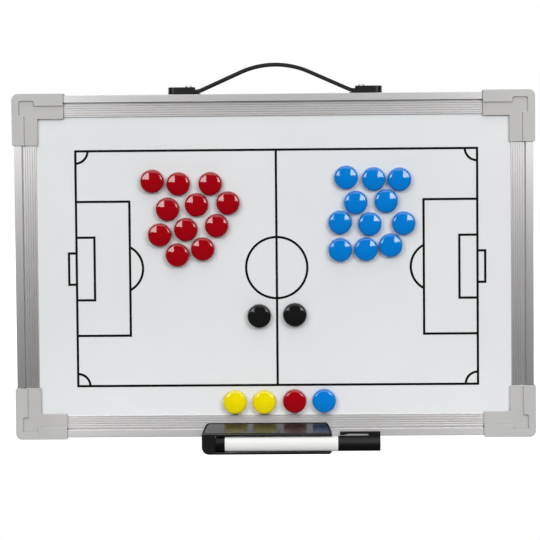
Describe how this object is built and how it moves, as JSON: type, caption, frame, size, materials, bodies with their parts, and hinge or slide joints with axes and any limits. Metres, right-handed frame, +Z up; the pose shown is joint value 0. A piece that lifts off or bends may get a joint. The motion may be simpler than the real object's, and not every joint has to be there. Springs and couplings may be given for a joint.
{
  "type": "magnetic tactics board",
  "caption": "Framed magnetic whiteboard with a printed football pitch, round coloured counters, a carry strap and a clip-on holder with a marker.",
  "frame": {"origin": "under the crown of the carry strap, in the middle of its width, where a hand lifts the board", "axes": "+X to the right along the board, +Y from the face to the back, +Z up"},
  "size_m": [0.4478, 0.0306, 0.335],
  "materials": {
    "white_enamel": "gloss enamel",
    "core": "plain fibreboard",
    "back_metal": "satin",
    "black_ink": "printed",
    "rail_aluminium": "satin anodised",
    "corner_plastic": "fine satin",
    "screw_steel": "plated",
    "strap_rubber": "satin",
    "black_plastic": "satin",
    "holder_plastic": "gloss",
    "white_plastic": "satin",
    "felt": "felt",
    "counter_red": "gloss",
    "counter_blue": "gloss",
    "counter_black": "gloss",
    "counter_yellow": "gloss"
  },
  "bodies": {
    "board": {"back_sheet": "back_metal", "bottom_rail": "rail_aluminium", "core_board": "core", "corner_bottom_left": "corner_plastic", "corner_bottom_right": "corner_plastic", "corner_screws": "screw_steel", "corner_top_left": "corner_plastic", "corner_top_right": "corner_plastic", "left_rail": "rail_aluminium", "pitch_print": "black_ink", "right_rail": "rail_aluminium", "strap_end_left": "black_plastic", "strap_end_right": "black_plastic", "strap_nut_plates": "screw_steel", "strap_screws": "screw_steel", "top_rail": "rail_aluminium", "writing_sheet": "white_enamel"},
    "strap": {"handle_strap": "strap_rubber"},
    "holder": {"pen_holder": "holder_plastic"},
    "marker": {"marker_end_plug": "black_plastic", "marker_barrel": "white_plastic", "marker_section": "black_plastic", "marker_nib": "felt", "marker_ink_core": "felt"},
    "marker_lid": {"marker_cap": "black_plastic"},
    "counter_black_01_body": {"counter_black_01": "counter_black"},
    "counter_black_02_body": {"counter_black_02": "counter_black"},
    "counter_blue_01_body": {"counter_blue_01": "counter_blue"},
    "counter_blue_02_body": {"counter_blue_02": "counter_blue"},
    "counter_blue_03_body": {"counter_blue_03": "counter_blue"},
    "counter_blue_04_body": {"counter_blue_04": "counter_blue"},
    "counter_blue_05_body": {"counter_blue_05": "counter_blue"},
    "counter_blue_06_body": {"counter_blue_06": "counter_blue"},
    "counter_blue_07_body": {"counter_blue_07": "counter_blue"},
    "counter_blue_08_body": {"counter_blue_08": "counter_blue"},
    "counter_blue_09_body": {"counter_blue_09": "counter_blue"},
    "counter_blue_10_body": {"counter_blue_10": "counter_blue"},
    "counter_blue_11_body": {"counter_blue_11": "counter_blue"},
    "counter_blue_12_body": {"counter_blue_12": "counter_blue"},
    "counter_red_01_body": {"counter_red_01": "counter_red"},
    "counter_red_02_body": {"counter_red_02": "counter_red"},
    "counter_red_03_body": {"counter_red_03": "counter_red"},
    "counter_red_04_body": {"counter_red_04": "counter_red"},
    "counter_red_05_body": {"counter_red_05": "counter_red"},
    "counter_red_06_body": {"counter_red_06": "counter_red"},
    "counter_red_07_body": {"counter_red_07": "counter_red"},
    "counter_red_08_body": {"counter_red_08": "counter_red"},
    "counter_red_09_body": {"counter_red_09": "counter_red"},
    "counter_red_10_body": {"counter_red_10": "counter_red"},
    "counter_red_11_body": {"counter_red_11": "counter_red"},
    "counter_red_12_body": {"counter_red_12": "counter_red"},
    "counter_yellow_01_body": {"counter_yellow_01": "counter_yellow"},
    "counter_yellow_02_body": {"counter_yellow_02": "counter_yellow"}
  },
  "joints": [
    {"name": "strap_flex", "type": "slide", "parent": "board", "child": "strap", "axis": [0, 0, -1], "range_m": [0, 0.014], "stiffness_N_per_m": 200, "deforming": ["handle_strap"]},
    {"name": "holder_slide", "type": "slide", "parent": "board", "child": "holder", "axis": [1, 0, 0], "range_m": [-0.113, 0.127]},
    {"name": "marker_slide", "type": "slide", "parent": "holder", "child": "marker", "axis": [1, 0, 0], "range_m": [0, 0.105]},
    {"name": "cap_pull", "type": "slide", "parent": "marker", "child": "marker_lid", "axis": [1, 0, 0], "range_m": [0, 0.045]},
    {"name": "lift_black_01", "type": "slide", "parent": "board", "child": "counter_black_01_body", "axis": [0, -1, 0], "range_m": [0, 0.05]},
    {"name": "lift_black_02", "type": "slide", "parent": "board", "child": "counter_black_02_body", "axis": [0, -1, 0], "range_m": [0, 0.05]},
    {"name": "lift_blue_01", "type": "slide", "parent": "board", "child": "counter_blue_01_body", "axis": [0, -1, 0], "range_m": [0, 0.05]},
    {"name": "lift_blue_02", "type": "slide", "parent": "board", "child": "counter_blue_02_body", "axis": [0, -1, 0], "range_m": [0, 0.05]},
    {"name": "lift_blue_03", "type": "slide", "parent": "board", "child": "counter_blue_03_body", "axis": [0, -1, 0], "range_m": [0, 0.05]},
    {"name": "lift_blue_04", "type": "slide", "parent": "board", "child": "counter_blue_04_body", "axis": [0, -1, 0], "range_m": [0, 0.05]},
    {"name": "lift_blue_05", "type": "slide", "parent": "board", "child": "counter_blue_05_body", "axis": [0, -1, 0], "range_m": [0, 0.05]},
    {"name": "lift_blue_06", "type": "slide", "parent": "board", "child": "counter_blue_06_body", "axis": [0, -1, 0], "range_m": [0, 0.05]},
    {"name": "lift_blue_07", "type": "slide", "parent": "board", "child": "counter_blue_07_body", "axis": [0, -1, 0], "range_m": [0, 0.05]},
    {"name": "lift_blue_08", "type": "slide", "parent": "board", "child": "counter_blue_08_body", "axis": [0, -1, 0], "range_m": [0, 0.05]},
    {"name": "lift_blue_09", "type": "slide", "parent": "board", "child": "counter_blue_09_body", "axis": [0, -1, 0], "range_m": [0, 0.05]},
    {"name": "lift_blue_10", "type": "slide", "parent": "board", "child": "counter_blue_10_body", "axis": [0, -1, 0], "range_m": [0, 0.05]},
    {"name": "lift_blue_11", "type": "slide", "parent": "board", "child": "counter_blue_11_body", "axis": [0, -1, 0], "range_m": [0, 0.05]},
    {"name": "lift_blue_12", "type": "slide", "parent": "board", "child": "counter_blue_12_body", "axis": [0, -1, 0], "range_m": [0, 0.05]},
    {"name": "lift_red_01", "type": "slide", "parent": "board", "child": "counter_red_01_body", "axis": [0, -1, 0], "range_m": [0, 0.05]},
    {"name": "lift_red_02", "type": "slide", "parent": "board", "child": "counter_red_02_body", "axis": [0, -1, 0], "range_m": [0, 0.05]},
    {"name": "lift_red_03", "type": "slide", "parent": "board", "child": "counter_red_03_body", "axis": [0, -1, 0], "range_m": [0, 0.05]},
    {"name": "lift_red_04", "type": "slide", "parent": "board", "child": "counter_red_04_body", "axis": [0, -1, 0], "range_m": [0, 0.05]},
    {"name": "lift_red_05", "type": "slide", "parent": "board", "child": "counter_red_05_body", "axis": [0, -1, 0], "range_m": [0, 0.05]},
    {"name": "lift_red_06", "type": "slide", "parent": "board", "child": "counter_red_06_body", "axis": [0, -1, 0], "range_m": [0, 0.05]},
    {"name": "lift_red_07", "type": "slide", "parent": "board", "child": "counter_red_07_body", "axis": [0, -1, 0], "range_m": [0, 0.05]},
    {"name": "lift_red_08", "type": "slide", "parent": "board", "child": "counter_red_08_body", "axis": [0, -1, 0], "range_m": [0, 0.05]},
    {"name": "lift_red_09", "type": "slide", "parent": "board", "child": "counter_red_09_body", "axis": [0, -1, 0], "range_m": [0, 0.05]},
    {"name": "lift_red_10", "type": "slide", "parent": "board", "child": "counter_red_10_body", "axis": [0, -1, 0], "range_m": [0, 0.05]},
    {"name": "lift_red_11", "type": "slide", "parent": "board", "child": "counter_red_11_body", "axis": [0, -1, 0], "range_m": [0, 0.05]},
    {"name": "lift_red_12", "type": "slide", "parent": "board", "child": "counter_red_12_body", "axis": [0, -1, 0], "range_m": [0, 0.05]},
    {"name": "lift_yellow_01", "type": "slide", "parent": "board", "child": "counter_yellow_01_body", "axis": [0, -1, 0], "range_m": [0, 0.05]},
    {"name": "lift_yellow_02", "type": "slide", "parent": "board", "child": "counter_yellow_02_body", "axis": [0, -1, 0], "range_m": [0, 0.05]}
  ]
}
